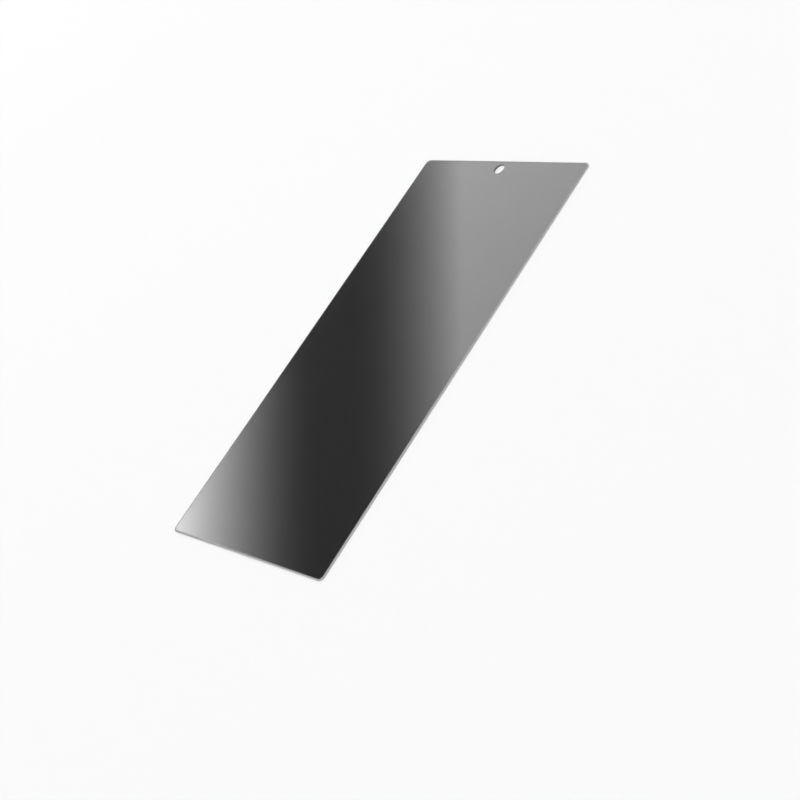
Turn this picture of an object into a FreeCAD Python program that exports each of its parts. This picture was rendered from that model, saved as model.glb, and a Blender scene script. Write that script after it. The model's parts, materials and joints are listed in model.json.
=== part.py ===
"""Privacy screen protector for a large flat screen.

One sheet of dark tinted glass, made in the order in which the real one is: the plate is cut to its
outline, its underside edge is broken by a fine arris, its upper edge is ground to a broad soft rounding
all the way round, and the hole for the front camera is drilled through and countersunk on both faces.

Frame: millimetres, +Z up, +Y towards the camera hole, origin at the middle of the underside.
"""

import FreeCAD, Part
import math
import os

import Sketcher

SIZES_MM = {
    # the plate
    "sheet_width": 75.6,
    "sheet_length": 158.0,
    "glass_thickness": 0.40,
    "corner_radius": 1.8,
    # its ground edge
    "edge_rounding_width": 0.60,
    "edge_rounding_drop": 0.15,
    "underside_arris": 0.04,
    # the hole for the front camera, set back from the upper end to its centre
    "camera_hole_diameter": 3.8,
    "camera_hole_setback": 3.6,
    "camera_rim_chamfer": 0.08,
}

# The ends and centre of a drawn line or arc, and the sketch's own origin, as the sketcher numbers them
START, END, CENTRE = range(1, 4)
ORIGIN = (-1, START)


def write_sizes(sheet):
    """Writes each driving dimension on a row of its own: its name in column A, its value in column B."""
    for row, (name, value) in enumerate(SIZES_MM.items(), start=1):
        sheet.set(f"A{row}", name)
        sheet.set(f"B{row}", str(value))
        sheet.setAlias(f"B{row}", name)


def sketch_on(body, plane_role, name):
    """An empty sketch on one of the body's own origin planes."""
    plane = next(feature for feature in body.Origin.OriginFeatures if feature.Role == plane_role)
    sketch = body.newObject("Sketcher::SketchObject", name)
    sketch.AttachmentSupport = [(plane, "")]
    sketch.MapMode = "FlatFace"
    return sketch


def line(start, end):
    return Part.LineSegment(FreeCAD.Vector(*start, 0), FreeCAD.Vector(*end, 0))


def circle(centre, radius):
    return Part.Circle(FreeCAD.Vector(*centre, 0), FreeCAD.Vector(0, 0, 1), radius)


def arc(centre, radius, start_angle, end_angle):
    return Part.ArcOfCircle(circle(centre, radius), start_angle, end_angle)


def constrain(sketch, kind, *where):
    sketch.addConstraint(Sketcher.Constraint(kind, *where))


def join_in_ring(sketch, kind, count):
    """Joins each drawn piece's end to the next one's start, and the last to the first."""
    for piece in range(count):
        constrain(sketch, kind, piece, END, (piece + 1) % count, START)


def dimension(sketch, name, kind, *where, equals):
    """Adds a named dimension that follows an expression in the driving dimensions."""
    value = float(sketch.evalExpression(equals))
    index = sketch.addConstraint(Sketcher.Constraint(kind, *where, value))
    sketch.renameConstraint(index, name)
    sketch.setExpression(f"Constraints.{name}", equals)


def draw_outline(body, size):
    """The sheet's outline, a rounded rectangle drawn anticlockwise from the foot of its right side."""
    outline = sketch_on(body, "XY_Plane", "sheet_outline")
    half_width = size.sheet_width / 2
    half_length = size.sheet_length / 2
    radius = size.corner_radius
    across = half_width - radius
    along = half_length - radius
    quarter_turn = math.pi / 2
    outline.addGeometry(
        [
            line((half_width, -along), (half_width, along)),
            arc((across, along), radius, 0, quarter_turn),
            line((across, half_length), (-across, half_length)),
            arc((-across, along), radius, quarter_turn, 2 * quarter_turn),
            line((-half_width, along), (-half_width, -along)),
            arc((-across, -along), radius, 2 * quarter_turn, 3 * quarter_turn),
            line((-across, -half_length), (across, -half_length)),
            arc((across, -along), radius, 3 * quarter_turn, 4 * quarter_turn),
        ],
        False,
    )
    right, first_corner, top, second_corner, left, third_corner, bottom, fourth_corner = range(8)
    join_in_ring(outline, "Tangent", 8)
    for side in (right, left):
        constrain(outline, "Vertical", side)
    for end in (top, bottom):
        constrain(outline, "Horizontal", end)
    for corner in (second_corner, third_corner, fourth_corner):
        constrain(outline, "Equal", first_corner, corner)
    constrain(outline, "Symmetric", first_corner, CENTRE, third_corner, CENTRE, *ORIGIN)
    dimension(outline, "width", "DistanceX", left, START, right, START, equals="Sizes.sheet_width")
    dimension(outline, "length", "DistanceY", bottom, START, top, START, equals="Sizes.sheet_length")
    dimension(outline, "corner_radius", "Radius", first_corner, equals="Sizes.corner_radius")
    return outline


def cut_plate(body, outline):
    """The glass as it is cut: a plain plate standing on its underside."""
    plate = body.newObject("PartDesign::Pad", "plate")
    plate.Profile = outline
    plate.setExpression("Length", "Sizes.glass_thickness")
    return plate


def chamfer(body, name, base, edges, size):
    """A chamfer on the edges of the base feature that are given by their numbers."""
    feature = body.newObject("PartDesign::Chamfer", name)
    feature.Base = (base, [f"Edge{number}" for number in edges])
    feature.setExpression("Size", size)
    return feature


def break_underside_edge(body, plate):
    """The fine arris all along the underside's edge."""
    middle = plate.Shape.BoundBox.Center.z
    underside = [
        number for number, edge in enumerate(plate.Shape.Edges, start=1) if edge.BoundBox.ZMax < middle
    ]
    return chamfer(body, "underside_arris", plate, underside, "Sizes.underside_arris")


def round_upper_edge(body, size, outline):
    """The broad rounding of the upper edge: a section swept once round the outline and taken away.

    The section stands at the foot of the right side, with its origin on the plate's upper edge and the
    glass on its left. Its arc leaves the upper face in line with it and meets the wall lower down.
    """
    section = sketch_on(body, "XZ_Plane", "edge_section")
    section.setExpression("AttachmentOffset.Base.x", "Sizes.sheet_width / 2")
    section.setExpression("AttachmentOffset.Base.y", "Sizes.glass_thickness")
    section.setExpression("AttachmentOffset.Base.z", "Sizes.sheet_length / 2 - Sizes.corner_radius")
    width = size.edge_rounding_width
    drop = size.edge_rounding_drop
    radius = (width**2 + drop**2) / (2 * drop)
    section.addGeometry(
        [
            arc((-width, -radius), radius, math.acos(width / radius), math.pi / 2),
            line((-width, 0), (0, 0)),
            line((0, 0), (0, -drop)),
        ],
        False,
    )
    rounding, face, wall = range(3)
    join_in_ring(section, "Coincident", 3)
    constrain(section, "Horizontal", face)
    constrain(section, "Vertical", wall)
    constrain(section, "Coincident", wall, START, *ORIGIN)
    constrain(section, "Vertical", rounding, CENTRE, rounding, END)
    dimension(section, "width", "DistanceX", face, START, face, END, equals="Sizes.edge_rounding_width")
    dimension(section, "drop", "DistanceY", wall, END, wall, START, equals="Sizes.edge_rounding_drop")

    rounded_edge = body.newObject("PartDesign::SubtractivePipe", "rounded_edge")
    rounded_edge.Profile = section
    rounded_edge.Spine = outline
    return rounded_edge


def drill_camera_hole(body, size):
    """The hole for the front camera, drilled right through on the sheet's centre line."""
    drill = sketch_on(body, "XY_Plane", "camera_hole_outline")
    place = size.sheet_length / 2 - size.camera_hole_setback
    bore = drill.addGeometry(circle((0, place), size.camera_hole_diameter / 2), False)
    constrain(drill, "Vertical", *ORIGIN, bore, CENTRE)
    from_middle = "Sizes.sheet_length / 2 - Sizes.camera_hole_setback"
    dimension(drill, "place", "DistanceY", *ORIGIN, bore, CENTRE, equals=from_middle)
    dimension(drill, "diameter", "Diameter", bore, equals="Sizes.camera_hole_diameter")
    hole = body.newObject("PartDesign::Pocket", "camera_hole")
    hole.Profile = drill
    hole.Type = "ThroughAll"
    hole.Reversed = True
    return hole


def break_hole_rims(body, hole):
    """The small countersink on both rims of the camera hole, the only closed edges on the sheet."""
    rims = [number for number, edge in enumerate(hole.Shape.Edges, start=1) if edge.isClosed()]
    return chamfer(body, "camera_hole_rims", hole, rims, "Sizes.camera_rim_chamfer")


def check_built(document, body, stages):
    """Stops if an object failed, the body isn't one sound solid, or a stage took no glass away."""
    for item in document.Objects:
        failed = {"Invalid", "Error"} & set(item.State)
        if failed:
            raise RuntimeError(f"{item.Label} is {' and '.join(failed)}")
    if body.Shape.isNull() or not body.Shape.isValid() or len(body.Shape.Solids) != 1:
        raise RuntimeError(f"{body.Label} is not one sound solid")
    for before, after in zip(stages, stages[1:]):
        if after.Shape.Volume >= before.Shape.Volume:
            raise RuntimeError(f"{after.Label} took no glass away")


document = FreeCAD.newDocument("privacy_screen_protector")
sizes = document.addObject("Spreadsheet::Sheet", "Sizes")
write_sizes(sizes)
document.recompute()

protector = document.addObject("PartDesign::Body", "ScreenProtector")
protector.Label = "screen_protector"
protector.Placement = FreeCAD.Placement()
outline = draw_outline(protector, sizes)
plate = cut_plate(protector, outline)
document.recompute()
arris = break_underside_edge(protector, plate)
rounded_edge = round_upper_edge(protector, sizes, outline)
hole = drill_camera_hole(protector, sizes)
document.recompute()
hole_rims = break_hole_rims(protector, hole)
document.recompute()
check_built(document, protector, [plate, arris, rounded_edge, hole, hole_rims])

os.makedirs("parts", exist_ok=True)
protector.Shape.exportStep(f"parts/{protector.Label}.step")
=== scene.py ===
import json
import math

import bmesh
import bpy
from mathutils import Matrix, Vector


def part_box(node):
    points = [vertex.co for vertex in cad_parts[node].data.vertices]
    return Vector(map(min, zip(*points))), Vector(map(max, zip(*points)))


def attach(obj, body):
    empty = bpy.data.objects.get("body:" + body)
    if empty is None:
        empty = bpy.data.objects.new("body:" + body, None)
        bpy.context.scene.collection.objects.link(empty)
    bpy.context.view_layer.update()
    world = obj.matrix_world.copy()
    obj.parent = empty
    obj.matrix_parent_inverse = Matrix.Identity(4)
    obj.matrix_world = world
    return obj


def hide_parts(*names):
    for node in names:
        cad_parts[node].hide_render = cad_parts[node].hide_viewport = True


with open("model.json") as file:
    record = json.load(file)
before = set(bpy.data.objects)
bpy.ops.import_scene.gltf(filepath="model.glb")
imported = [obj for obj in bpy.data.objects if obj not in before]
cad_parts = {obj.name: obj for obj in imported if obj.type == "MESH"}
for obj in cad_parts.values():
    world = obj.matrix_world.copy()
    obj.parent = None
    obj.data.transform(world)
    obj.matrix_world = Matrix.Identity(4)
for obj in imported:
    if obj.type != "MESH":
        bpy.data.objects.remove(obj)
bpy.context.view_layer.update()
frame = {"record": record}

# The sheet of privacy glass: one plate of tempered glass, with a dark louvre film bonded into it that
# stops a little short of the outline. It is cut to shape, ground to a broad soft rounding along the upper
# edge, and drilled near one end for the front camera. It lies flat on its adhesive face.
low_corner, high_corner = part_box("screen_protector")
sheet_width = high_corner.x - low_corner.x
sheet_length = high_corner.y - low_corner.y
glass_thickness = high_corner.z - low_corner.z
corner_radius = 1.8e-3
edge_rounding_width = 0.60e-3
edge_rounding_drop = 0.15e-3
flat_margin = 0.02e-3
underside_arris = 0.04e-3
film_setback = 0.35e-3
camera_rim_chamfer = 0.08e-3

camera_mount = next(mount for mount in frame["record"]["mounts"] if mount["name"] == "camera_hole")
camera_hole_centre = Vector(camera_mount["pos_m"]).xy
camera_hole_radius = camera_mount["dims"]["r_mm"] * 1e-3

corner_steps = 20
rounding_steps = 12
hole_steps = 128
crease_angle = math.radians(30)


def outline_stations():
    """Points round the outline, anticlockwise from the middle of the foot, each with the way outwards."""
    across = sheet_width / 2 - corner_radius
    along = sheet_length / 2 - corner_radius
    corner_centres = [(across, -along), (across, along), (-across, along), (-across, -along)]
    stations = [(Vector((0, -sheet_length / 2)), Vector((0, -1)))]
    for quarter, centre in enumerate(corner_centres, start=-1):
        for step in range(corner_steps + 1):
            angle = (quarter + step / corner_steps) * math.pi / 2
            outward = Vector((math.cos(angle), math.sin(angle)))
            stations.append((Vector(centre) + corner_radius * outward, outward))
        if quarter == 0:
            stations.append((Vector((0, sheet_length / 2)), Vector((0, 1))))
    return stations


def hole_stations():
    """Points round the camera hole, clockwise from its upper end, each with the way out of the glass."""
    stations = []
    for step in range(hole_steps):
        angle = math.pi / 2 - 2 * math.pi * step / hole_steps
        outward = Vector((-math.cos(angle), -math.sin(angle)))
        stations.append((camera_hole_centre - camera_hole_radius * outward, outward))
    return stations


def ground_edge_profile():
    """The outer edge from the underside up to the face, as distances in from the outline and heights.

    It starts and ends a hair inside the rounding, so that both faces are mirror flat from there on.
    """
    radius = (edge_rounding_width**2 + edge_rounding_drop**2) / (2 * edge_rounding_drop)
    steepest = math.asin(edge_rounding_width / radius)
    flat_from = edge_rounding_width + flat_margin
    profile = [(flat_from, 0), (underside_arris, 0), (0, underside_arris)]
    for step in range(rounding_steps + 1):
        lean = steepest * (1 - step / rounding_steps)
        inset = edge_rounding_width - radius * math.sin(lean)
        height = glass_thickness - radius * (1 - math.cos(lean))
        profile.append((inset, height))
    profile.append((flat_from, glass_thickness))
    return profile


def drilled_wall_profile():
    """The hole's wall from the underside up to the face, with a small countersink on both rims."""
    return [
        (camera_rim_chamfer, 0),
        (0, camera_rim_chamfer),
        (0, glass_thickness - camera_rim_chamfer),
        (camera_rim_chamfer, glass_thickness),
    ]


def sweep(mesh, stations, profile, bare_rim):
    """Carries the profile round the stations and returns its lowest and highest rings of points.

    The strips that lie wholly within the bare rim, beyond the edge of the film, have the ground finish.
    """
    rings = []
    for inset, height in profile:
        rings.append([mesh.verts.new((*(spot - inset * outward), height)) for spot, outward in stations])
    for step, (lower, upper) in enumerate(zip(rings, rings[1:])):
        innermost = max(profile[step][0], profile[step + 1][0])
        finish = ground_finish if innermost < bare_rim else polished_finish
        for here in range(len(stations)):
            beyond = (here + 1) % len(stations)
            strip = mesh.faces.new((lower[here], lower[beyond], upper[beyond], upper[here]))
            strip.material_index = finish
    return rings[0], rings[-1]


def face_halves(outer, hole):
    """The flat face between the two rings, as a right and a left half that meet on the centre line."""
    outer_middle = len(outer) // 2
    hole_middle = len(hole) // 2
    right = outer[: outer_middle + 1] + hole[: hole_middle + 1]
    left = outer[outer_middle:] + outer[:1] + hole[hole_middle:] + hole[:1]
    return right, left


polished_finish, ground_finish = range(2)
glass = bmesh.new()
edge_foot, edge_top = sweep(glass, outline_stations(), ground_edge_profile(), bare_rim=film_setback)
hole_foot, hole_top = sweep(glass, hole_stations(), drilled_wall_profile(), bare_rim=0)
for half in face_halves(edge_top, hole_top):
    glass.faces.new(half)
for half in face_halves(edge_foot, hole_foot):
    glass.faces.new(half[::-1])
sheet_mesh = bpy.data.meshes.new("privacy_glass_sheet")
glass.to_mesh(sheet_mesh)
glass.free()
sheet_mesh.set_sharp_from_angle(angle=crease_angle)
sheet = bpy.data.objects.new("privacy_glass_sheet", sheet_mesh)
bpy.context.collection.objects.link(sheet)


def new_material(name):
    """An empty node material, with its node tree and its shader."""
    material = bpy.data.materials.new(name)
    material.use_nodes = True
    return material, material.node_tree, material.node_tree.nodes["Principled BSDF"]


def wave_scale(pitch):
    """The scale that gives a wave texture this pitch: at a scale of 1 it runs 20 radians to the metre."""
    radians_per_metre = 20
    return 2 * math.pi / (radians_per_metre * pitch)


glass_ior = 1.5
polished_clearness = 1.0
louvre_pitch = 0.10e-3
louvre_dark = (0.156, 0.150, 0.1525, 1.0)
louvre_clear = (0.178, 0.171, 0.174, 1.0)
coating_patch = 6e-3
coating_detail = 4.0
coating_contrast = (0.3, 0.7)
polish_roughness = (0.015, 0.035)
polished_glass, polished_tree, polished_shader = new_material("polished_glass")
polished_shader.inputs["Transmission Weight"].default_value = polished_clearness
polished_shader.inputs["IOR"].default_value = glass_ior
face_place = polished_tree.nodes.new("ShaderNodeTexCoord")
louvres = polished_tree.nodes.new("ShaderNodeTexWave")
louvres.inputs["Scale"].default_value = wave_scale(louvre_pitch)
louvre_tint = polished_tree.nodes.new("ShaderNodeMix")
louvre_tint.data_type = "RGBA"
louvre_tint.inputs["A"].default_value = louvre_dark
louvre_tint.inputs["B"].default_value = louvre_clear
polished_tree.links.new(face_place.outputs["Object"], louvres.inputs["Vector"])
polished_tree.links.new(louvres.outputs["Fac"], louvre_tint.inputs["Factor"])
polished_tree.links.new(louvre_tint.outputs["Result"], polished_shader.inputs["Base Color"])
coating = polished_tree.nodes.new("ShaderNodeTexNoise")
coating.inputs["Scale"].default_value = 1 / coating_patch
coating.inputs["Detail"].default_value = coating_detail
polish = polished_tree.nodes.new("ShaderNodeMapRange")
polish.inputs["From Min"].default_value = coating_contrast[0]
polish.inputs["From Max"].default_value = coating_contrast[1]
polish.inputs["To Min"].default_value = polish_roughness[0]
polish.inputs["To Max"].default_value = polish_roughness[1]
polished_tree.links.new(face_place.outputs["Object"], coating.inputs["Vector"])
polished_tree.links.new(coating.outputs["Fac"], polish.inputs["Value"])
polished_tree.links.new(polish.outputs["Result"], polished_shader.inputs["Roughness"])

ground_tint = (0.92, 0.91, 0.913, 1.0)
ground_clearness = 0.60
wheel_mark_pitch = 0.03e-3
wheel_mark_depth = 0.001e-3
wheel_mark_waver = 3.0
wheel_mark_detail = 3.0
ground_roughness = (0.10, 0.22)
ground_glass, ground_tree, ground_shader = new_material("ground_edge")
ground_shader.inputs["Base Color"].default_value = ground_tint
ground_shader.inputs["Transmission Weight"].default_value = ground_clearness
ground_shader.inputs["IOR"].default_value = glass_ior
edge_place = ground_tree.nodes.new("ShaderNodeTexCoord")
wheel_marks = ground_tree.nodes.new("ShaderNodeTexWave")
wheel_marks.bands_direction = "Z"
wheel_marks.inputs["Scale"].default_value = wave_scale(wheel_mark_pitch)
wheel_marks.inputs["Distortion"].default_value = wheel_mark_waver
wheel_marks.inputs["Detail"].default_value = wheel_mark_detail
ground_polish = ground_tree.nodes.new("ShaderNodeMapRange")
ground_polish.inputs["To Min"].default_value = ground_roughness[0]
ground_polish.inputs["To Max"].default_value = ground_roughness[1]
wheel_bump = ground_tree.nodes.new("ShaderNodeBump")
wheel_bump.inputs["Distance"].default_value = wheel_mark_depth
ground_tree.links.new(edge_place.outputs["Object"], wheel_marks.inputs["Vector"])
ground_tree.links.new(wheel_marks.outputs["Fac"], ground_polish.inputs["Value"])
ground_tree.links.new(wheel_marks.outputs["Fac"], wheel_bump.inputs["Height"])
ground_tree.links.new(ground_polish.outputs["Result"], ground_shader.inputs["Roughness"])
ground_tree.links.new(wheel_bump.outputs["Normal"], ground_shader.inputs["Normal"])

sheet_mesh.materials.append(polished_glass)
sheet_mesh.materials.append(ground_glass)
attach(sheet, "root")
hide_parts("screen_protector")

# The floor: a plain white matt table top, far larger than the sheet, which lies on it.
# It is a hair below the glass, so that no two faces share a plane, and its rim fades into the wall.
floor_radius = 2.5
floor_fade_from = 0.7
floor_segments = 96
floor_gap = 0.05e-3
floor_white = (0.93, 0.93, 0.93, 1.0)
floor_roughness = 1.0
floor_gloss = 0.0
table_top = bmesh.new()
bmesh.ops.create_circle(table_top, cap_ends=True, radius=floor_radius, segments=floor_segments)
floor_mesh = bpy.data.meshes.new("floor")
table_top.to_mesh(floor_mesh)
table_top.free()
floor = bpy.data.objects.new("floor", floor_mesh)
floor.location.z = -floor_gap
bpy.context.collection.objects.link(floor)
floor_paint, floor_tree, floor_shader = new_material("floor_paint")
floor_shader.inputs["Base Color"].default_value = floor_white
floor_shader.inputs["Roughness"].default_value = floor_roughness
floor_shader.inputs["Specular IOR Level"].default_value = floor_gloss
floor_place = floor_tree.nodes.new("ShaderNodeTexCoord")
from_centre = floor_tree.nodes.new("ShaderNodeVectorMath")
from_centre.operation = "LENGTH"
floor_fade = floor_tree.nodes.new("ShaderNodeMapRange")
floor_fade.interpolation_type = "SMOOTHSTEP"
floor_fade.inputs["From Min"].default_value = floor_radius
floor_fade.inputs["From Max"].default_value = floor_fade_from
floor_tree.links.new(floor_place.outputs["Object"], from_centre.inputs[0])
floor_tree.links.new(from_centre.outputs["Value"], floor_fade.inputs["Value"])
floor_tree.links.new(floor_fade.outputs["Result"], floor_shader.inputs["Alpha"])
floor_mesh.materials.append(floor_paint)

# The camera: it looks down on the sheet across its long side, and is rolled so that the sheet runs
# from the lower left of the picture to the upper right. Its lens and sensor are in millimetres.
camera_aim = Vector((0.02299, -0.01725, 0.0004))
camera_azimuth = math.radians(66.47)
camera_elevation = math.radians(35.97)
camera_distance = 0.4629
camera_roll = math.radians(-42.53)
camera_lens = 69.40
camera_sensor = 36.0
nearest_seen = 0.01
farthest_seen = 50.0
camera_data = bpy.data.cameras.new("camera")
camera_data.lens = camera_lens
camera_data.sensor_width = camera_sensor
camera_data.clip_start = nearest_seen
camera_data.clip_end = farthest_seen
camera = bpy.data.objects.new("camera", camera_data)
bpy.context.collection.objects.link(camera)
towards_camera = Vector((
    math.sin(camera_azimuth) * math.cos(camera_elevation),
    -math.cos(camera_azimuth) * math.cos(camera_elevation),
    math.sin(camera_elevation),
))
level_axes = (-towards_camera).to_track_quat("-Z", "Y").to_matrix()
camera_axes = level_axes @ Matrix.Rotation(camera_roll, 3, "Z")
camera_stand = Matrix.Translation(camera_aim + camera_distance * towards_camera)
camera.matrix_world = camera_stand @ camera_axes.to_4x4()
bpy.context.scene.camera = camera

# The tent: a studio tent of white cloth round the table, with white walls, a ceiling that is brighter on
# one side, and a dim belt between them. The belt is what the glass mirrors to the camera, so that it shows
# its own dark tint there. Heights run from 0 at the horizon to 1 overhead.
tent_cloth = (1.0, 1.0, 1.0, 1.0)
tent_wall_white = 0.97
tent_dim = 0.18
wall_fade_heights = (0.20, 0.42)
ceiling_rise_heights = (0.76, 0.86)
ceiling_glow = (0.35, 1.45)
ceiling_bright_side = Vector((-0.6, 0.8, 0.0))
ceiling_slope_reach = 0.2
world = bpy.data.worlds.new("studio_tent")
bpy.context.scene.world = world
world.use_nodes = True
tent = world.node_tree
background = tent.nodes["Background"]
background.inputs["Color"].default_value = tent_cloth
direction = tent.nodes.new("ShaderNodeTexCoord")
direction_axes = tent.nodes.new("ShaderNodeSeparateXYZ")
wall = tent.nodes.new("ShaderNodeMapRange")
wall.inputs["From Min"].default_value = wall_fade_heights[0]
wall.inputs["From Max"].default_value = wall_fade_heights[1]
wall.inputs["To Min"].default_value = tent_wall_white
wall.inputs["To Max"].default_value = tent_dim
to_bright_side = tent.nodes.new("ShaderNodeVectorMath")
to_bright_side.operation = "DOT_PRODUCT"
to_bright_side.inputs[1].default_value = ceiling_bright_side
ceiling_slope = tent.nodes.new("ShaderNodeMapRange")
ceiling_slope.interpolation_type = "SMOOTHSTEP"
ceiling_slope.inputs["From Min"].default_value = -ceiling_slope_reach
ceiling_slope.inputs["From Max"].default_value = ceiling_slope_reach
ceiling_slope.inputs["To Min"].default_value = ceiling_glow[0]
ceiling_slope.inputs["To Max"].default_value = ceiling_glow[1]
ceiling = tent.nodes.new("ShaderNodeMapRange")
ceiling.inputs["From Min"].default_value = ceiling_rise_heights[0]
ceiling.inputs["From Max"].default_value = ceiling_rise_heights[1]
tent_light = tent.nodes.new("ShaderNodeMath")
tent_light.operation = "ADD"
tent.links.new(direction.outputs["Generated"], direction_axes.inputs["Vector"])
tent.links.new(direction.outputs["Generated"], to_bright_side.inputs[0])
tent.links.new(to_bright_side.outputs["Value"], ceiling_slope.inputs["Value"])
tent.links.new(ceiling_slope.outputs["Result"], ceiling.inputs["To Max"])
tent.links.new(direction_axes.outputs["Z"], wall.inputs["Value"])
tent.links.new(direction_axes.outputs["Z"], ceiling.inputs["Value"])
tent.links.new(wall.outputs["Result"], tent_light.inputs[0])
tent.links.new(ceiling.outputs["Result"], tent_light.inputs[1])
tent.links.new(tent_light.outputs["Value"], background.inputs["Strength"])

# The softboxes: pairs of graded area lamps that hang round the table in the tent's dim belt.
# The first pair is where the glass mirrors it to the camera, and the others are fainter copies.
# Their borders are pixels of the mirrored picture, and each fades out towards its borders.
left_softbox = {"left": 0, "right": 325, "top": 240, "bottom": 840, "fade": 145, "radiance": 8.0}
right_softbox = {"left": 346, "right": 1200, "top": -120, "bottom": 770, "fade": 115, "radiance": 3.3}
softbox_falloff = 2.5
softbox_distance = 4.0
pair_count = 6
copy_share = 0.3
picture_side = 800
lens_in_pixels = camera_lens / camera_sensor * picture_side
pixel_step = (softbox_distance + camera_distance) / lens_in_pixels
mirror = Matrix.Diagonal((1, 1, -1))
softbox_axes = mirror @ camera_axes @ mirror
softbox_across, softbox_up, softbox_away = softbox_axes.col


def hang_softbox(name, box, share, turn):
    """An area lamp that fills the box's pixels of the mirrored picture, turned round the table."""
    light = bpy.data.lights.new(name, "AREA")
    light.shape = "RECTANGLE"
    light.size = (box["right"] - box["left"]) * pixel_step
    light.size_y = (box["bottom"] - box["top"]) * pixel_step
    light.energy = math.pi * share * box["radiance"] * light.size * light.size_y
    light.use_nodes = True
    nodes = light.node_tree.nodes
    links = light.node_tree.links
    on_lamp = nodes.new("ShaderNodeTexCoord")
    lamp_axes = nodes.new("ShaderNodeSeparateXYZ")
    both_ways = nodes.new("ShaderNodeMath")
    both_ways.operation = "MULTIPLY"
    links.new(on_lamp.outputs["Object"], lamp_axes.inputs["Vector"])
    for way, (axis, length) in enumerate((("X", light.size), ("Y", light.size_y))):
        from_middle = nodes.new("ShaderNodeMath")
        from_middle.operation = "ABSOLUTE"
        rise = nodes.new("ShaderNodeMapRange")
        rise.inputs["From Min"].default_value = length / 2
        rise.inputs["From Max"].default_value = length / 2 - box["fade"] * pixel_step
        links.new(lamp_axes.outputs[axis], from_middle.inputs[0])
        links.new(from_middle.outputs["Value"], rise.inputs["Value"])
        links.new(rise.outputs["Result"], both_ways.inputs[way])
    falloff = nodes.new("ShaderNodeMath")
    falloff.operation = "POWER"
    falloff.inputs[1].default_value = softbox_falloff
    links.new(both_ways.outputs["Value"], falloff.inputs[0])
    links.new(falloff.outputs["Value"], nodes["Emission"].inputs["Strength"])
    lamp = bpy.data.objects.new(name, light)
    across = (box["left"] + box["right"] - picture_side) / 2 * pixel_step
    up = (picture_side - box["top"] - box["bottom"]) / 2 * pixel_step
    hung_at = camera_aim + softbox_distance * softbox_away + across * softbox_across + up * softbox_up
    lamp.matrix_world = turn @ Matrix.Translation(hung_at) @ softbox_axes.to_4x4()
    lamp.visible_camera = False
    bpy.context.collection.objects.link(lamp)


for pair in range(pair_count):
    turn = Matrix.Rotation(2 * math.pi * pair / pair_count, 4, "Z")
    share = 1.0 if pair == 0 else copy_share
    hang_softbox(f"left_softbox_{pair}", left_softbox, share, turn)
    hang_softbox(f"right_softbox_{pair}", right_softbox, share, turn)

# The end: colours go into the picture as they are written.
bpy.context.scene.view_settings.view_transform = "Standard"
